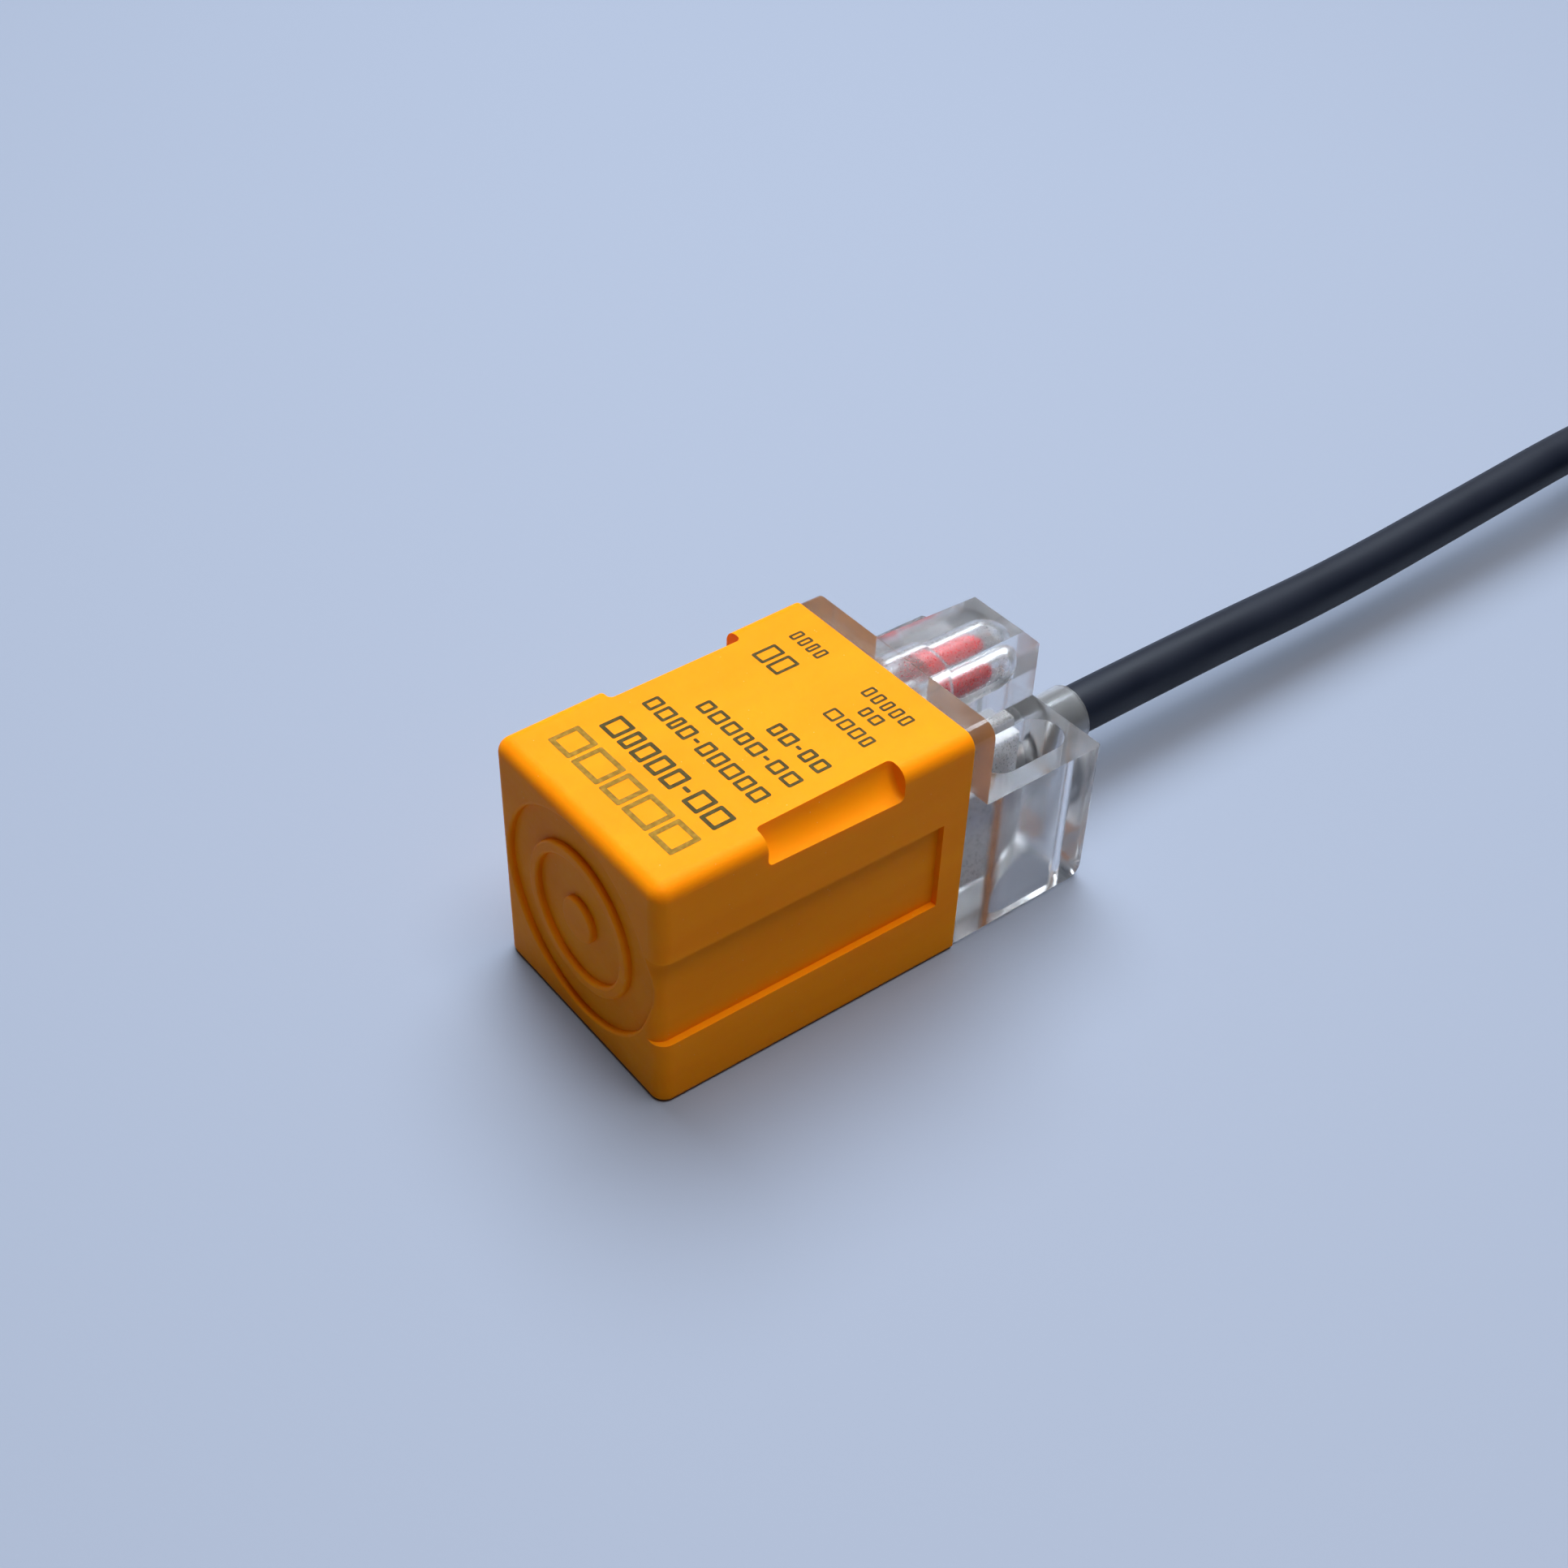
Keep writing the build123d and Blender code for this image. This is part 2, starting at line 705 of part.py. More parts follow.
with BuildPart() as coil_ties:
    for angle in tie_angles:
        outward = (cos(radians(angle)), sin(radians(angle)), 0)
        middle = (
            coil_x + coil_mean_radius * outward[0],
            coil_y + coil_mean_radius * outward[1],
            tie_thickness + coil_height / 2,
        )
        around = Plane(middle, x_dir=outward, z_dir=(outward[1], -outward[0], 0))
        with BuildSketch(around):
            RectangleRounded(
                coil_section + 2 * tie_thickness,
                coil_height + 2 * tie_thickness,
                coil_edge_radius + tie_thickness,
            )
        extrude(amount=tie_width / 2, both=True)
        with BuildSketch(around):
            with Locations((0, coil_height / 2)):
                Rectangle(tie_head[0], tie_head[2], align=(Align.CENTER, Align.MIN))
        extrude(amount=tie_head[1] / 2, both=True)
    add(cable_coil.part, mode=Mode.SUBTRACT)

tail_end = Vector(*tail_route[-1])
tail_direction = (tail_end - Vector(*tail_route[-2])).normalized()
tail_sideways = Vector(tail_direction.Y, -tail_direction.X, 0)
tail_cores = {}
tip_starts = []
for (name, steps), (aside, up) in zip(end_core_steps.items(), core_offsets):
    start = tail_end + tail_sideways * aside + Vector(0, 0, up)
    points = [tuple(start), tuple(start + tail_direction * end_core_straight)]
    for along, sideways, height in steps:
        step = tail_end + tail_direction * along + tail_sideways * sideways
        points.append((step.X, step.Y, height))
    with BuildPart() as tail_core:
        add(tube_along(name, points, core_diameter))
    tail_cores[name] = tail_core
    tip_starts.append((Vector(*points[-1]), Vector(*points[-1]) - Vector(*points[-2])))

with BuildPart() as core_tips:
    for start, direction in tip_starts:
        with BuildSketch(Plane(start, z_dir=direction)):
            Circle(tip_diameter / 2)
        extrude(amount=tip_length)

pieces = {
    "cap_housing": cap_housing,
    "rear_cover": rear_cover,
    "ferrite_core": ferrite_core,
    "coil_bobbin": coil_bobbin,
    "coil_winding": coil_winding,
    "coil_leads": coil_leads,
    "circuit_board": circuit_board,
    "sensor_ic": sensor_ic,
    "ic_leads": ic_leads,
    "output_transistor": output_transistor,
    "transistor_leads": transistor_leads,
    "tantalum_capacitor": tantalum_capacitor,
    "polarity_diode": polarity_diode,
    "surge_diode": surge_diode,
    "block_terminals": block_terminals,
    "chip_resistors": chip_resistors,
    "chip_capacitors": chip_capacitors,
    "chip_end_caps": chip_end_caps,
    "solder_joints": solder_joints,
    "indicator_led": indicator_led,
    "led_leads": led_leads,
    "cable_entry": cable_entry,
    "cable_crimp": cable_crimp,
    **inner_cores,
    "cable_sheath": cable_sheath,
    "cable_coil": cable_coil,
    "coil_ties": coil_ties,
    "cable_tail": cable_tail,
    **tail_cores,
    "core_tips": core_tips,
}
os.makedirs("parts", exist_ok=True)
for name, piece in pieces.items():
    piece.part.label = name
    export_step(piece.part, f"parts/{name}.step")
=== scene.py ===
from math import cos, pi, radians, sin

import bmesh
import bpy
from mathutils import Matrix, Vector


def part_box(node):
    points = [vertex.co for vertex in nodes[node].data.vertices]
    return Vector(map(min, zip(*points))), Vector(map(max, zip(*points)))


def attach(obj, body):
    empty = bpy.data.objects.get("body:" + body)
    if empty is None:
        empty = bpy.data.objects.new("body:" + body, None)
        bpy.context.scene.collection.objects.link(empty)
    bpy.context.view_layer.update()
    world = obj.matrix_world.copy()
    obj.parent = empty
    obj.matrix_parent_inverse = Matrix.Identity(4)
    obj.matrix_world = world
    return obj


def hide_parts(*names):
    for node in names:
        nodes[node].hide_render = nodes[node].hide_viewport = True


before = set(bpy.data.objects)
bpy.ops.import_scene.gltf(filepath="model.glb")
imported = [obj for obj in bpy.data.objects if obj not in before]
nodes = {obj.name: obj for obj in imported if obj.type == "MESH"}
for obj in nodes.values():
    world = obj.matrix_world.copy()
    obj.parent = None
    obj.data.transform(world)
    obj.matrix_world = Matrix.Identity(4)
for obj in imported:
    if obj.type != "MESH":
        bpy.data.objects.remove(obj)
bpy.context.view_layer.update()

MM = 0.001


def mm(*values):
    """A point given in millimetres, in metres."""
    return Vector(values) * MM


# ---------------------------------------------------------------------------
# Places read from the frame
# ---------------------------------------------------------------------------
cap_low, cap_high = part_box("cap_housing")
cover_low, cover_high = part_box("rear_cover")
entry_low, entry_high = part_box("cable_entry")
led_low, led_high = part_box("indicator_led")
coil_low, coil_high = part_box("cable_coil")

CABLE_DIAMETER = entry_high.x - entry_low.x
CABLE_AXIS_Z = (entry_high.z + entry_low.z) / 2
COLLAR_END = entry_high.y
LED_AXIS_Z = (led_low.z + led_high.z) / 2

# ---------------------------------------------------------------------------
# Camera: the photograph's angle, distance and slight roll
# ---------------------------------------------------------------------------
VIEW_AZIMUTH = 50.762
VIEW_ELEVATION = 40.670
VIEW_ROLL = 2.09
VIEW_DISTANCE = 0.12165
VIEW_AIM = mm(-1.526, -3.540, 9.551)
VIEW_LENS = 45.83


def add_camera():
    az, el, roll = radians(VIEW_AZIMUTH), radians(VIEW_ELEVATION), radians(VIEW_ROLL)
    back = Vector((sin(az) * cos(el), -cos(az) * cos(el), sin(el)))
    level_right = Vector((cos(az), sin(az), 0))
    level_up = back.cross(level_right)
    right = level_right * cos(roll) + level_up * sin(roll)
    up = back.cross(right)
    data = bpy.data.cameras.new("photo_camera")
    data.lens = VIEW_LENS
    data.sensor_width = 36
    data.clip_start = 0.005
    data.clip_end = 20
    camera = bpy.data.objects.new("photo_camera", data)
    axes = Matrix((right, up, back)).transposed().to_4x4()
    camera.matrix_world = Matrix.Translation(VIEW_AIM + back * VIEW_DISTANCE) @ axes
    bpy.context.scene.collection.objects.link(camera)
    bpy.context.scene.camera = camera


add_camera()

# ---------------------------------------------------------------------------
# Material helpers
# ---------------------------------------------------------------------------


class Shader:
    """A material's node tree, with short calls for the nodes used here."""

    def __init__(self, name):
        self.material = bpy.data.materials.new(name)
        self.material.use_nodes = True
        self.tree = self.material.node_tree
        self.surface = self.tree.nodes["Principled BSDF"]
        self.place = self.tree.nodes.new("ShaderNodeTexCoord").outputs["Object"]

    def put(self, socket, value):
        if isinstance(value, bpy.types.NodeSocket):
            self.tree.links.new(value, socket)
        elif isinstance(value, (tuple, list)) and len(value) == 3 and socket.type == "RGBA":
            socket.default_value = (*value, 1)
        else:
            socket.default_value = value

    def set(self, **sockets):
        for name, value in sockets.items():
            self.put(self.surface.inputs[name.replace("_", " ")], value)

    def math(self, operation, a, b=0.0, c=0.0):
        node = self.tree.nodes.new("ShaderNodeMath")
        node.operation = operation
        for socket, value in zip(node.inputs, (a, b, c)):
            self.put(socket, value)
        return node.outputs[0]

    def axes(self, vector=None):
        node = self.tree.nodes.new("ShaderNodeSeparateXYZ")
        self.put(node.inputs[0], vector or self.place)
        return node.outputs

    def stretched(self, scale):
        node = self.tree.nodes.new("ShaderNodeMapping")
        self.put(node.inputs["Vector"], self.place)
        node.inputs["Scale"].default_value = scale
        return node.outputs[0]

    def noise(self, scale, detail=2.0, roughness=0.5, vector=None):
        node = self.tree.nodes.new("ShaderNodeTexNoise")
        self.put(node.inputs["Vector"], vector or self.place)
        node.inputs["Scale"].default_value = scale
        node.inputs["Detail"].default_value = detail
        node.inputs["Roughness"].default_value = roughness
        return node.outputs["Fac"]

    def cells(self, scale, vector=None):
        node = self.tree.nodes.new("ShaderNodeTexVoronoi")
        self.put(node.inputs["Vector"], vector or self.place)
        node.inputs["Scale"].default_value = scale
        return node.outputs["Distance"]

    def remap(self, value, low, high, to_low, to_high):
        node = self.tree.nodes.new("ShaderNodeMapRange")
        for name, number in (
            ("Value", value),
            ("From Min", low),
            ("From Max", high),
            ("To Min", to_low),
            ("To Max", to_high),
        ):
            self.put(node.inputs[name], number)
        return node.outputs[0]

    def blend(self, factor, a, b):
        node = self.tree.nodes.new("ShaderNodeMix")
        node.data_type = "RGBA"
        colours = [socket for socket in node.inputs if socket.type == "RGBA"]
        self.put(node.inputs["Factor"], factor)
        self.put(colours[0], a)
        self.put(colours[1], b)
        return next(socket for socket in node.outputs if socket.type == "RGBA")

    def bump(self, height, depth, strength=1.0, under=None):
        """Relief of this depth in metres, from a height of 0 to 1."""
        node = self.tree.nodes.new("ShaderNodeBump")
        node.inputs["Strength"].default_value = strength
        node.inputs["Distance"].default_value = depth
        self.put(node.inputs["Height"], height)
        if under is not None:
            self.put(node.inputs["Normal"], under)
        return node.outputs[0]

    def grain(self, size, depth, strength=1.0):
        """Fine all-over relief, as a moulding tool or a drawn surface leaves."""
        return self.bump(self.noise(1 / size, detail=3), depth, strength)


def specks(shader, size, share):
    """A mask that is 1 on scattered dust specks of about this size and 0 elsewhere."""
    near_centre = shader.remap(shader.cells(1 / (size * 9)), 0.0, 0.09, 1.0, 0.0)
    chosen = shader.remap(shader.noise(1 / (size * 30), detail=0), 1 - share, 1.0 - share + 0.02, 0, 1)
    return shader.math("MULTIPLY", near_centre, chosen)


def plain_plastic(name, colour, roughness=0.45, grain_size=0.08 * MM, grain_depth=0.004 * MM):
    """Moulded plastic: slight mottling in colour and gloss, and a fine moulded grain."""
    shader = Shader(name)
    mottle = shader.noise(1 / (1.7 * MM), detail=3)
    darker = tuple(channel * 0.86 for channel in colour)
    shader.set(
        Base_Color=shader.blend(mottle, darker, colour),
        Roughness=shader.remap(mottle, 0.3, 0.7, roughness - 0.05, roughness + 0.05),
        Normal=shader.grain(grain_size, grain_depth),
    )
    return shader.material


def metal(name, colour, roughness=0.3, brushed=(1, 1, 1)):
    """Plated or drawn metal with fine drawing marks and a cloudy tarnish."""
    shader = Shader(name)
    marks = shader.noise(1 / (0.05 * MM), detail=2, vector=shader.stretched(brushed))
    tarnish = shader.noise(1 / (0.9 * MM), detail=4)
    duller = tuple(channel * 0.72 for channel in colour)
    shader.set(
        Metallic=1.0,
        Base_Color=shader.blend(tarnish, duller, colour),
        Roughness=shader.remap(marks, 0.3, 0.7, roughness - 0.08, roughness + 0.1),
        Normal=shader.bump(marks, 0.002 * MM),
    )
    return shader.material


# ---------------------------------------------------------------------------
# Materials
# ---------------------------------------------------------------------------


def amber_plastic():
    """The cap's satin amber plastic: eroded-tool grain, faint flow marks, a little dust."""
    shader = Shader("amber_plastic")
    flow = shader.noise(1 / (5 * MM), detail=4, vector=shader.stretched((1.0, 0.35, 1.6)))
    colour = shader.blend(shader.remap(flow, 0.35, 0.65, 0, 1), AMBER_DEEP, AMBER_LIGHT)
    dust = specks(shader, 0.05 * MM, 0.42)
    colour = shader.blend(shader.math("MULTIPLY", dust, 0.7), colour, DUST)
    fine = shader.noise(1 / (0.07 * MM), detail=2)
    coarse = shader.noise(1 / (0.45 * MM), detail=2)
    relief = shader.bump(fine, 0.006 * MM, 0.8, under=shader.bump(coarse, 0.010 * MM, 0.6))
    shader.set(
        Base_Color=colour,
        Roughness=shader.remap(coarse, 0.3, 0.7, 0.40, 0.50),
        Specular_IOR_Level=0.04,
        Subsurface_Weight=0.35,
        Subsurface_Radius=(1.0, 0.3, 0.04),
        Subsurface_Scale=0.7 * MM,
        Normal=relief,
    )
    return shader.material


def printing_ink(name, colour):
    """Matt pad-printed ink, a little uneven in density."""
    shader = Shader(name)
    density = shader.noise(1 / (0.35 * MM), detail=3)
    thin = tuple(1.5 * value for value in colour)
    shader.set(
        Base_Color=shader.blend(shader.remap(density, 0.4, 0.7, 0, 1), colour, thin),
        Roughness=0.75,
        Specular_IOR_Level=0.05,
        Normal=shader.grain(0.06 * MM, 0.006 * MM),
    )
    return shader.material


def resin_with_painted_shade():
    """The seal's amber resin: the cap's amber seen through the clear flange, set deeper than the cap as
    painted shade, with soft clouds and a few bubbles.
    """
    shader = Shader("resin_with_painted_shade")
    cloud = shader.noise(1 / (1.4 * MM), detail=3)
    bubbles = specks(shader, 0.12 * MM, 0.3)
    colour = shader.blend(shader.remap(cloud, 0.35, 0.65, 0, 1), SHADED_RESIN_DEEP, SHADED_RESIN_LIGHT)
    shader.set(
        Base_Color=shader.blend(shader.math("MULTIPLY", bubbles, 0.3), colour, DUST),
        Roughness=shader.remap(cloud, 0.3, 0.7, 0.35, 0.5),
        Specular_IOR_Level=0.05,
        Normal=shader.grain(0.2 * MM, 0.006 * MM),
    )
    return shader.material


def inside_box(shader, low, high):
    """A mask that is 1 inside this box and 0 outside."""
    mask = 1.0
    for axis, low_value, high_value in zip(shader.axes(), low, high):
        above = shader.math("GREATER_THAN", axis, low_value)
        below = shader.math("LESS_THAN", axis, high_value)
        mask = shader.math("MULTIPLY", mask, shader.math("MULTIPLY", above, below))
    return mask


def inside_bore(shader, centre, radius, start_y, end_y):
    """A mask that is 1 within this distance of a line along Y, between two places on it."""
    x, y, z = shader.axes()
    across = shader.math("POWER", shader.math("SUBTRACT", x, centre[0]), 2.0)
    upward = shader.math("POWER", shader.math("SUBTRACT", z, centre[1]), 2.0)
    near = shader.math("LESS_THAN", shader.math("ADD", across, upward), radius**2)
    behind = shader.math("GREATER_THAN", y, start_y)
    before = shader.math("LESS_THAN", y, end_y)
    return shader.math("MULTIPLY", near, shader.math("MULTIPLY", behind, before))


# regions of the clear cover that differ from its outside, in millimetres
CHAMBER_LOW, CHAMBER_HIGH = (-2.66, -1, 1.45), (2.66, 11.75, 9.55)
LED_BORE_RADIUS = 2.07
LED_BORE_END = 12.2
CABLE_BORE_RADIUS = 1.9
CABLE_BORE_START = 11.6
# share of the light that goes through: the whole cover, less where milky
CLEARNESS = 0.975
MILKY_LOSS = 0.295
CABLE_BORE_MILKINESS = 0.45


def clear_plastic():
    """Clear moulding: lightly worn outside, frosted in the LED's bore, milky in the cable's chamber."""
    shader = Shader("clear_plastic")
    chamber = inside_box(shader, mm(*CHAMBER_LOW), mm(*CHAMBER_HIGH))
    led_bore = inside_bore(
        shader, (0, LED_AXIS_Z), LED_BORE_RADIUS * MM, cap_high.y, LED_BORE_END * MM
    )
    cable_bore = inside_bore(
        shader, (0, CABLE_AXIS_Z), CABLE_BORE_RADIUS * MM, CABLE_BORE_START * MM, COLLAR_END
    )
    milky = shader.math("MULTIPLY", cable_bore, CABLE_BORE_MILKINESS)
    milky = shader.math("MAXIMUM", chamber, milky)
    clear = shader.math("SUBTRACT", CLEARNESS, shader.math("MULTIPLY", milky, MILKY_LOSS))
    frosted = shader.math("MAXIMUM", chamber, led_bore)
    erosion = shader.noise(1 / (0.16 * MM), detail=3)
    smear = shader.noise(1 / (2.5 * MM), detail=3)
    polish = shader.remap(smear, 0.4, 0.75, 0.12, 0.22)
    wall = shader.remap(erosion, 0.3, 0.7, 0.22, 0.42)
    roughness = shader.math(
        "ADD",
        shader.math("MULTIPLY", frosted, wall),
        shader.math("MULTIPLY", shader.math("SUBTRACT", 1.0, frosted), polish),
    )
    relief = shader.math("MULTIPLY", erosion, shader.remap(frosted, 0, 1, 0.06, 1))
    shader.set(
        Base_Color=CLEAR_TINT,
        Transmission_Weight=clear,
        IOR=1.49,
        Specular_IOR_Level=0.38,
        Roughness=roughness,
        Normal=shader.bump(relief, 0.008 * MM, 0.7),
    )
    return shader.material


def red_lens():
    """The LED's diffused red epoxy."""
    shader = Shader("red_lens")
    cloud = shader.noise(1 / (0.6 * MM), detail=3)
    shader.set(
        Base_Color=shader.blend(cloud, (0.62, 0.010, 0.016), (0.86, 0.030, 0.040)),
        Roughness=shader.remap(cloud, 0.3, 0.7, 0.22, 0.34),
        Subsurface_Weight=0.5,
        Subsurface_Radius=(1.0, 0.2, 0.2),
        Subsurface_Scale=0.5 * MM,
        Normal=shader.grain(0.1 * MM, 0.003 * MM),
    )
    return shader.material


def cable_jacket():
    """Extruded black PVC: a fine matt grain and handling marks."""
    shader = Shader("cable_jacket")
    handled = shader.noise(1 / (6 * MM), detail=4)
    fine = shader.noise(1 / (0.11 * MM), detail=3)
    shader.set(
        Base_Color=shader.blend(handled, (0.0024, 0.0044, 0.0115), (0.0040, 0.0070, 0.0170)),
        Roughness=shader.remap(handled, 0.3, 0.7, 0.42, 0.56),
        Specular_IOR_Level=0.28,
        Normal=shader.bump(fine, 0.006 * MM, 0.7),
    )
    return shader.material


def circuit_laminate():
    """Green solder mask over copper tracks, with glass weave just showing through."""
    shader = Shader("circuit_laminate")
    x, y, z = shader.axes()
    weave = shader.math(
        "MULTIPLY",
        shader.math("SINE", shader.math("MULTIPLY", x, 2 * pi / (0.5 * MM))),
        shader.math("SINE", shader.math("MULTIPLY", y, 2 * pi / (0.5 * MM))),
    )
    field = shader.noise(1 / (2.2 * MM), detail=0)
    tracks = shader.math(
        "LESS_THAN",
        shader.math("ABSOLUTE", shader.math("SINE", shader.math("MULTIPLY", field, 38.0))),
        0.35,
    )
    mask = shader.blend(shader.remap(weave, -1, 1, 0, 1), (0.006, 0.085, 0.030), (0.010, 0.120, 0.042))
    shader.set(
        Base_Color=shader.blend(tracks, mask, (0.030, 0.200, 0.070)),
        Roughness=0.28,
        Normal=shader.bump(tracks, 0.03 * MM, under=shader.bump(weave, 0.004 * MM)),
    )
    return shader.material


def wound_copper():
    """Enamelled copper, wound round the Y axis in fine turns."""
    shader = Shader("wound_copper")
    x, y, z = shader.axes()
    turns = shader.math("ABSOLUTE", shader.math("SINE", shader.math("MULTIPLY", y, pi / (0.12 * MM))))
    patchy = shader.noise(1 / (1.1 * MM), detail=3)
    shader.set(
        Metallic=0.85,
        Base_Color=shader.blend(patchy, (0.40, 0.105, 0.030), (0.62, 0.20, 0.062)),
        Roughness=0.27,
        Normal=shader.bump(turns, 0.04 * MM),
    )
    return shader.material


def ferrite():
    """Sintered ferrite: near black, matt, with fine pores."""
    shader = Shader("ferrite")
    pores = shader.remap(shader.cells(1 / (0.18 * MM)), 0.0, 0.25, 0.0, 1.0)
    cloud = shader.noise(1 / (1.5 * MM), detail=4)
    shader.set(
        Base_Color=shader.blend(cloud, (0.020, 0.020, 0.022), (0.042, 0.041, 0.043)),
        Roughness=shader.remap(cloud, 0.3, 0.7, 0.55, 0.75),
        Normal=shader.bump(pores, 0.02 * MM, 0.8),
    )
    return shader.material


def table_top():
    """The plain pale table that the sensor lies on."""
    shader = Shader("table_top")
    cloud = shader.noise(1 / (90 * MM), detail=1)
    fine = shader.noise(1 / (0.5 * MM), detail=2)
    shader.set(
        Base_Color=shader.blend(cloud, TABLE_DARK, TABLE_LIGHT),
        Roughness=0.6,
        Specular_IOR_Level=0.2,
        Normal=shader.bump(fine, 0.01 * MM, 0.5),
    )
    return shader.material


AMBER_LIGHT = (0.93, 0.275, 0.003)
AMBER_DEEP = (0.89, 0.243, 0.002)
DUST = (0.95, 0.70, 0.40)
# the seal's resin colours: amber darkened below the cap's as painted shade, lighter and deeper by
# random clouds
SHADED_RESIN_LIGHT = (0.72, 0.245, 0.009)
SHADED_RESIN_DEEP = (0.56, 0.185, 0.006)
CLEAR_TINT = (0.990, 0.987, 0.982)
INK = (0.062, 0.048, 0.016)
OUTLINE_INK = (0.230, 0.125, 0.018)
TABLE_LIGHT = (0.262, 0.290, 0.361)
TABLE_DARK = (0.258, 0.285, 0.355)

JACKET = cable_jacket()
TINNED = metal("tinned_metal", (0.72, 0.72, 0.74), 0.28)
WIRE_COLOURS = {
    "brown": (0.105, 0.034, 0.013),
    "black": (0.013, 0.013, 0.014),
    "blue": (0.010, 0.070, 0.330),
}
WIRE_PLASTIC = {
    colour: plain_plastic(f"wire_{colour}", shade, 0.38) for colour, shade in WIRE_COLOURS.items()
}
EPOXY = plain_plastic("component_epoxy", (0.016, 0.016, 0.018), 0.5, 0.05 * MM, 0.008 * MM)
COPPER = wound_copper()

node_materials = {
    "cap_housing": amber_plastic(),
    "rear_cover": clear_plastic(),
    "ferrite_core": ferrite(),
    "coil_bobbin": plain_plastic("bobbin_nylon", (0.70, 0.68, 0.60), 0.42),
    "coil_winding": COPPER,
    "coil_leads": COPPER,
    "circuit_board": circuit_laminate(),
    "sensor_ic": EPOXY,
    "ic_leads": TINNED,
    "output_transistor": EPOXY,
    "transistor_leads": TINNED,
    "tantalum_capacitor": plain_plastic("tantalum_epoxy", (0.62, 0.33, 0.045), 0.4),
    "polarity_diode": EPOXY,
    "surge_diode": EPOXY,
    "block_terminals": TINNED,
    "chip_resistors": plain_plastic("resistor_glaze", (0.020, 0.020, 0.028), 0.22),
    "chip_capacitors": plain_plastic("capacitor_ceramic", (0.30, 0.19, 0.095), 0.35),
    "chip_end_caps": TINNED,
    "solder_joints": metal("solder", (0.66, 0.67, 0.70), 0.2),
    "indicator_led": red_lens(),
    "led_leads": TINNED,
    "cable_entry": JACKET,
    "cable_crimp": metal("crimp_steel", (0.55, 0.55, 0.57), 0.32, (1, 12, 1)),
    "core_brown": WIRE_PLASTIC["brown"],
    "core_black": WIRE_PLASTIC["black"],
    "core_blue": WIRE_PLASTIC["blue"],
    "coil_ties": plain_plastic("tie_nylon", (0.72, 0.72, 0.67), 0.36, 0.3 * MM, 0.02 * MM),
    "core_tips": metal("tinned_strands", (0.74, 0.74, 0.75), 0.25, (20, 1, 20)),
}


def paint(obj, material):
    obj.data.materials.clear()
    obj.data.materials.append(material)


for name, material in node_materials.items():
    paint(nodes[name], material)

# ---------------------------------------------------------------------------
# Cable: one smooth line from the collar to the stripped end, through the coil's turns
# ---------------------------------------------------------------------------
# the same routes as in the part, listed in millimetres
CABLE_ROUTE = [
    (0, 19.7, 5.1),
    (0, 32, 5.1),
    (0, 47, 4.6),
    (-0.3, 63, 5.1),
    (-0.7, 79, 5.5),
    (-1.8, 91, 3.6),
    (-3.3, 101, 2.5),
]
TAIL_ROUTE = [
    (33, 136.5, 12),
    (43.5, 129.2, 8),
    (49, 117, 3.8),
    (49, 102.8, 1.75),
    (46, 89.6, 1.75),
]
TURN_RADII = [13.95, 17.45, 20.95, 24.45]
COIL_LAYERS = 4
POINTS_PER_TURN = 16
LAST_TURN_POINTS = 4
CROSSING_SHARE = 0.6

coil_centre = (coil_low + coil_high) / 2 / MM
first_layer_z = (coil_low.z + CABLE_DIAMETER / 2) / MM


def turn_places():
    """Radius and height of each turn: inwards through the first layer, outwards through the next."""
    places = []
    for layer in range(COIL_LAYERS):
        radii = TURN_RADII if layer % 2 else TURN_RADII[::-1]
        places += [(radius, first_layer_z + layer * CABLE_DIAMETER / MM) for radius in radii]
    return places


def coil_points():
    """The turns, clockwise from the side where the cable arrives; the last is a quarter turn."""
    places = turn_places()
    corner = cos(pi / POINTS_PER_TURN)
    points = []
    for turn, (radius, height) in enumerate(places):
        last = turn == len(places) - 1
        steps = LAST_TURN_POINTS + 1 if last else POINTS_PER_TURN
        for step in range(steps):
            moved = CROSSING_SHARE if step == POINTS_PER_TURN - 1 else 0.0
            next_radius, next_height = places[min(turn + 1, len(places) - 1)]
            r = (radius + moved * (next_radius - radius)) / corner
            z = height + moved * (next_height - height)
            angle = pi - 2 * pi * step / POINTS_PER_TURN
            points.append((coil_centre.x + r * cos(angle), coil_centre.y + r * sin(angle), z))
    return points


def smooth_cord(name, points, diameter, material):
    """A round cord along one NURBS line whose control points are in millimetres."""
    curve = bpy.data.curves.new(name, "CURVE")
    curve.dimensions = "3D"
    curve.bevel_depth = diameter / 2
    curve.bevel_resolution = 6
    curve.use_fill_caps = True
    curve.resolution_u = 6
    spline = curve.splines.new("NURBS")
    spline.points.add(len(points) - 1)
    for control, point in zip(spline.points, points):
        control.co = (*mm(*point), 1)
    spline.order_u = 3
    spline.use_endpoint_u = True
    cord = bpy.data.objects.new(name, curve)
    bpy.context.scene.collection.objects.link(cord)
    curve.materials.append(material)
    return cord


cable = smooth_cord("cable", CABLE_ROUTE + coil_points() + TAIL_ROUTE, CABLE_DIAMETER, JACKET)
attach(cable, "root")
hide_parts("cable_sheath", "cable_coil", "cable_tail")

CORE_DIAMETER = 1.1
CORE_CIRCLE = 0.66
END_CORE_STRAIGHT = 4.0
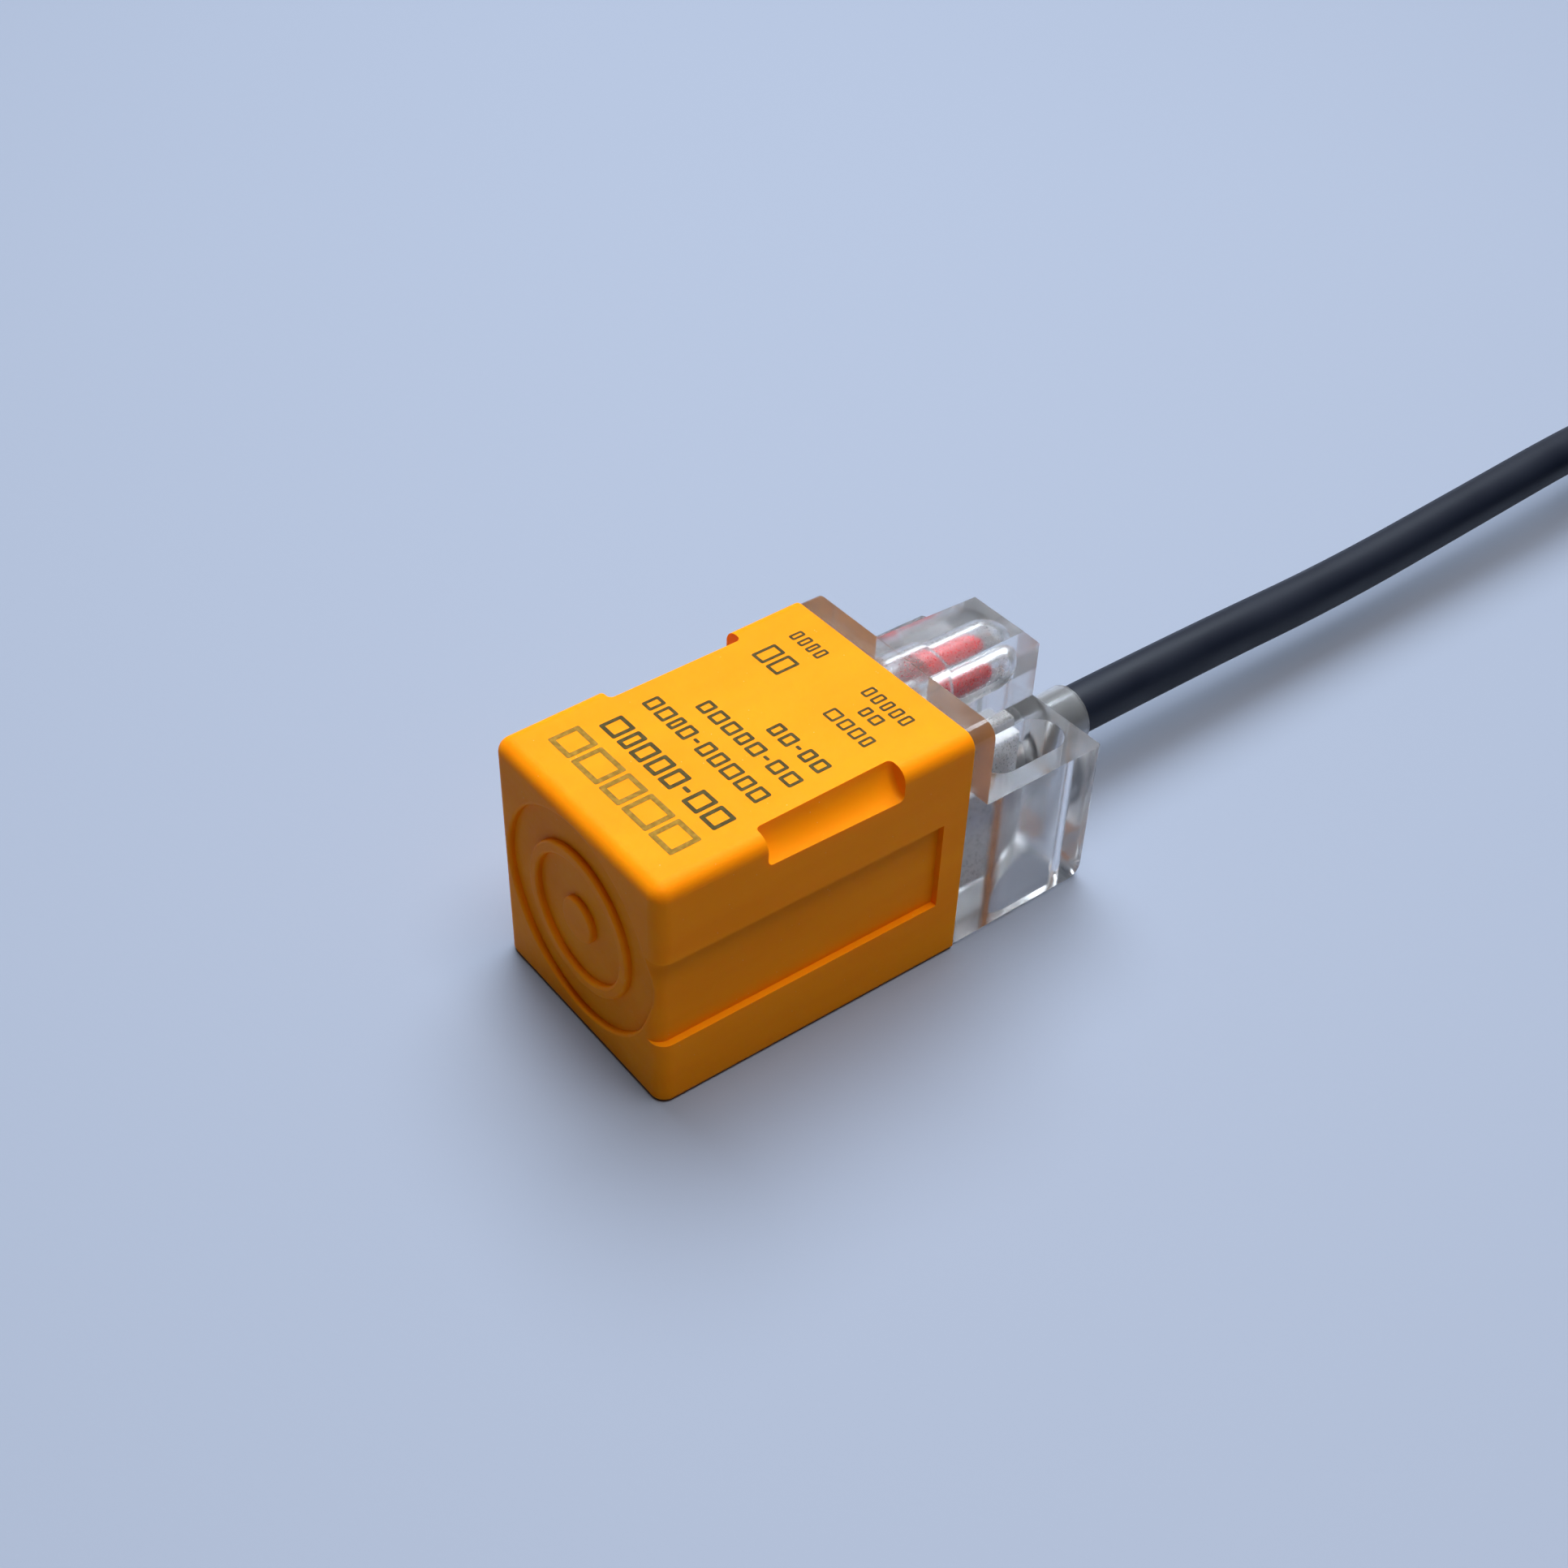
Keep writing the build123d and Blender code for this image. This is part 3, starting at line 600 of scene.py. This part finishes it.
# each core: its place round the cable in degrees, then along, across and height at each step
END_CORES = {
    "brown": (210, [(11, -2.0, 1.1), (19, -4.9, 0.55), (27, -7.6, 0.55), (34, -8.6, 0.55)]),
    "black": (90, [(11, -0.1, 1.7), (19, 0.6, 0.65), (27, 0.2, 0.55), (35, -1.2, 0.55)]),
    "blue": (330, [(11, 2.1, 1.2), (18, 5.0, 0.55), (26, 7.1, 0.55), (33, 7.4, 0.55)]),
}
tail_end = Vector(TAIL_ROUTE[-1])
tail_direction = (tail_end - Vector(TAIL_ROUTE[-2])).normalized()
tail_sideways = Vector((tail_direction.y, -tail_direction.x, 0))
for colour, (angle, steps) in END_CORES.items():
    aside = CORE_CIRCLE * cos(radians(angle))
    up = CORE_CIRCLE * sin(radians(angle))
    start = tail_end + tail_sideways * aside + Vector((0, 0, up))
    points = [tuple(start), tuple(start + tail_direction * END_CORE_STRAIGHT)]
    for along, sideways, height in steps:
        step = tail_end + tail_direction * along + tail_sideways * sideways
        points.append((step.x, step.y, height))
    core = smooth_cord(f"wire_end_{colour}", points, CORE_DIAMETER * MM, WIRE_PLASTIC[colour])
    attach(core, "root")
    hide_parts(f"end_core_{colour}")

# ---------------------------------------------------------------------------
# Printed marks on the cap's top: plain blocks in place of lettering
# ---------------------------------------------------------------------------
CAP_TOP_TAPER = 0.30
INK_THICKNESS = 0.012
INK_CORNER = 0.12
FRONT_Y = cap_low.y / MM
CAP_LENGTH = (cap_high.y - cap_low.y) / MM
CAP_TOP = cap_high.z / MM


def top_height(y):
    """Height of the cap's sloping top at this place along it, in millimetres."""
    return CAP_TOP - CAP_TOP_TAPER * (1 - (y - FRONT_Y) / CAP_LENGTH)


def rounded_outline(x0, x1, y0, y1, corner):
    """Points round a rectangle with rounded corners, anticlockwise."""
    outline = []
    for centre_x, centre_y, first in (
        (x1 - corner, y1 - corner, 0),
        (x0 + corner, y1 - corner, 90),
        (x0 + corner, y0 + corner, 180),
        (x1 - corner, y0 + corner, 270),
    ):
        for step in range(4):
            angle = radians(first + 30 * step)
            outline.append((centre_x + corner * cos(angle), centre_y + corner * sin(angle)))
    return outline


def add_plate(mesh, place, outer, inner=None):
    """A thin closed plate with this outline, and a hole where an inner outline is given.
    place(a, b, level) puts an outline's point in space, at the plate's back or its front."""
    rings = []
    for outline in (outer, inner) if inner else (outer,):
        rings.append([[mesh.verts.new(place(a, b, level)) for a, b in outline] for level in (0, 1)])
    for index, (low, high) in enumerate(rings):
        for i in range(len(low)):
            j = (i + 1) % len(low)
            wall = (low[i], low[j], high[j], high[i])
            mesh.faces.new(wall if index == 0 else wall[::-1])
    if inner:
        (low_out, high_out), (low_in, high_in) = rings
        for i in range(len(low_out)):
            j = (i + 1) % len(low_out)
            mesh.faces.new((high_out[i], high_out[j], high_in[j], high_in[i]))
            mesh.faces.new((low_out[j], low_out[i], low_in[i], low_in[j]))
    else:
        low, high = rings[0]
        mesh.faces.new(high)
        mesh.faces.new(low[::-1])


def add_mesh_piece(name, mesh, material):
    data = bpy.data.meshes.new(name)
    mesh.to_mesh(data)
    mesh.free()
    piece = bpy.data.objects.new(name, data)
    bpy.context.scene.collection.objects.link(piece)
    paint(piece, material)
    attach(piece, "root")


def on_cap_top(x, y, level):
    """A printed point on the cap's sloping top."""
    return mm(x, y, top_height(y) + level * INK_THICKNESS)


def add_row(mesh, y0, y1, x0, x1, widths, stroke):
    """A row of hollow blocks from x0 to x1 in these proportions, the narrow ones short bars."""
    free = (x1 - x0) - PRINT_GAP * (len(widths) - 1)
    unit = free / sum(widths)
    middle = (y0 + y1) / 2
    x = x0
    for width in widths:
        end = x + width * unit
        if width < BAR_WIDTH:
            bar = rounded_outline(x, end, middle - stroke / 2, middle + stroke / 2, stroke / 3)
            add_plate(mesh, on_cap_top, bar)
        else:
            outer = rounded_outline(x, end, y0, y1, INK_CORNER)
            inner = rounded_outline(
                x + stroke, end - stroke, y0 + stroke, y1 - stroke, INK_CORNER / 3
            )
            add_plate(mesh, on_cap_top, outer, inner)
        x = end + PRINT_GAP


PRINT_GAP = 0.26
BAR_WIDTH = 0.6
TITLE_STROKE = 0.34
# each row: from and to along the cap, from and to across it, widths, stroke
TITLE_ROW = (2.4, 4.5, -6.0, 6.0, (1, 1.2, 0.9, 1.1, 1), TITLE_STROKE)
PRINT_ROWS = [
    (5.4, 7.0, -5.3, 5.8, (1.3, 0.8, 1, 1, 1, 0.5, 1.2, 1.2), 0.27),
    (8.5, 9.7, -5.5, 5.4, (1, 1.1, 0.7, 1, 0.5, 1, 1, 1.2, 1, 1.1), 0.22),
    (10.8, 11.9, -3.4, 5.5, (1, 1.1, 1.1, 0.9, 1.1, 0.5, 1.1, 1.2), 0.22),
    (12.8, 13.9, 0.7, 5.5, (1, 1.1, 0.5, 1, 1.1), 0.22),
    (16.3, 17.3, 1.5, 5.3, (1.3, 1, 1, 0.8), 0.17),
    (18.0, 18.9, 2.6, 4.2, (0.8, 1), 0.17),
    (19.3, 20.3, 1.3, 5.2, (1, 1, 0.9, 1, 1), 0.16),
    (19.3, 20.3, -5.5, -2.7, (1, 1, 0.9, 1), 0.16),
    (16.4, 18.2, -5.4, -2.9, (1, 1), 0.22),
]


def make_print(name, rows, colour):
    mesh = bmesh.new()
    for y0, y1, x0, x1, widths, stroke in rows:
        add_row(mesh, FRONT_Y + y0, FRONT_Y + y1, x0, x1, widths, stroke)
    add_mesh_piece(name, mesh, printing_ink(f"{name}_ink", colour))


make_print("printed_title", [TITLE_ROW], OUTLINE_INK)
make_print("printed_marks", PRINT_ROWS, INK)

# ---------------------------------------------------------------------------
# Resin seal between the cap and the clear cover, bonded to the cover's front face: an amber sheet,
# coloured darker than the cap as painted shade, that shows through the flange
# ---------------------------------------------------------------------------
SEAL_BACK = 0.055
SEAL_THICKNESS = 0.05
SEAL_MARGIN = 0.04
SEAL_CORNER = 1.0


def on_cap_rear(x, z, level):
    """A point of the seal, just inside the cover or on the cap's side of it."""
    return mm(x, cap_high.y / MM + SEAL_BACK - level * SEAL_THICKNESS, z)


def make_seal():
    half = cover_high.x / MM - SEAL_MARGIN
    low_z = cover_low.z / MM + SEAL_MARGIN
    high_z = cover_high.z / MM - SEAL_MARGIN
    mesh = bmesh.new()
    add_plate(mesh, on_cap_rear, rounded_outline(-half, half, low_z, high_z, SEAL_CORNER))
    add_mesh_piece("resin_seal", mesh, resin_with_painted_shade())


make_seal()

# ---------------------------------------------------------------------------
# Table, lights and background
# ---------------------------------------------------------------------------
TABLE_SIZE = 3.0
KEY_LIGHT_SIZE = 0.46
KEY_LIGHT_PLACE = Vector((-0.21, 0.15, 0.50))
KEY_LIGHT_POWER = 4.9
KEY_LIGHT_COLOUR = (0.80, 0.90, 1.0)
TOP_LIGHT_SIZE = 0.26
TOP_LIGHT_PLACE = Vector((0.09, 0.03, 0.50))
TOP_LIGHT_POWER = 1.6
TOP_LIGHT_COLOUR = (1.0, 1.0, 1.0)
SKY_DARK = (0.030, 0.030, 0.031)
SKY_BRIGHT = (0.285, 0.283, 0.287)
SKY_BRIGHT_SIDE = Vector((-0.55, 0.65, 0.52))
SKY_BRIGHT_FROM = 0.9
LIGHT_BOUNCES = 20


def add_table():
    mesh = bmesh.new()
    bmesh.ops.create_grid(mesh, x_segments=8, y_segments=8, size=TABLE_SIZE / 2)
    data = bpy.data.meshes.new("table")
    mesh.to_mesh(data)
    mesh.free()
    table = bpy.data.objects.new("table", data)
    bpy.context.scene.collection.objects.link(table)
    paint(table, table_top())


def add_area_light(name, place, size, power, colour):
    data = bpy.data.lights.new(name, "AREA")
    data.shape = "DISK"
    data.size = size
    data.energy = power
    data.color = colour
    light = bpy.data.objects.new(name, data)
    light.location = place
    light.visible_camera = False
    light.rotation_euler = (-place).to_track_quat("-Z", "Y").to_euler()
    bpy.context.scene.collection.objects.link(light)


def set_background():
    """A soft surround that is bright behind the sensor and dim in front of it."""
    world = bpy.data.worlds.new("studio")
    world.use_nodes = True
    tree = world.node_tree
    direction = tree.nodes.new("ShaderNodeTexCoord").outputs["Generated"]
    facing = tree.nodes.new("ShaderNodeVectorMath")
    facing.operation = "DOT_PRODUCT"
    tree.links.new(direction, facing.inputs[0])
    facing.inputs[1].default_value = SKY_BRIGHT_SIDE.normalized()
    ramp = tree.nodes.new("ShaderNodeValToRGB")
    ramp.color_ramp.interpolation = "EASE"
    ramp.color_ramp.elements[0].position = 0.0
    ramp.color_ramp.elements[0].color = (*SKY_DARK, 1)
    ramp.color_ramp.elements[1].position = SKY_BRIGHT_FROM
    ramp.color_ramp.elements[1].color = (*SKY_BRIGHT, 1)
    tree.links.new(facing.outputs["Value"], ramp.inputs["Fac"])
    tree.links.new(ramp.outputs["Color"], tree.nodes["Background"].inputs["Color"])
    bpy.context.scene.world = world


add_table()
add_area_light("key_light", KEY_LIGHT_PLACE, KEY_LIGHT_SIZE, KEY_LIGHT_POWER, KEY_LIGHT_COLOUR)
add_area_light("top_light", TOP_LIGHT_PLACE, TOP_LIGHT_SIZE, TOP_LIGHT_POWER, TOP_LIGHT_COLOUR)
set_background()
bpy.context.scene.view_settings.view_transform = "Standard"
light_paths = bpy.context.scene.cycles
light_paths.max_bounces = LIGHT_BOUNCES
light_paths.glossy_bounces = LIGHT_BOUNCES
light_paths.transmission_bounces = LIGHT_BOUNCES
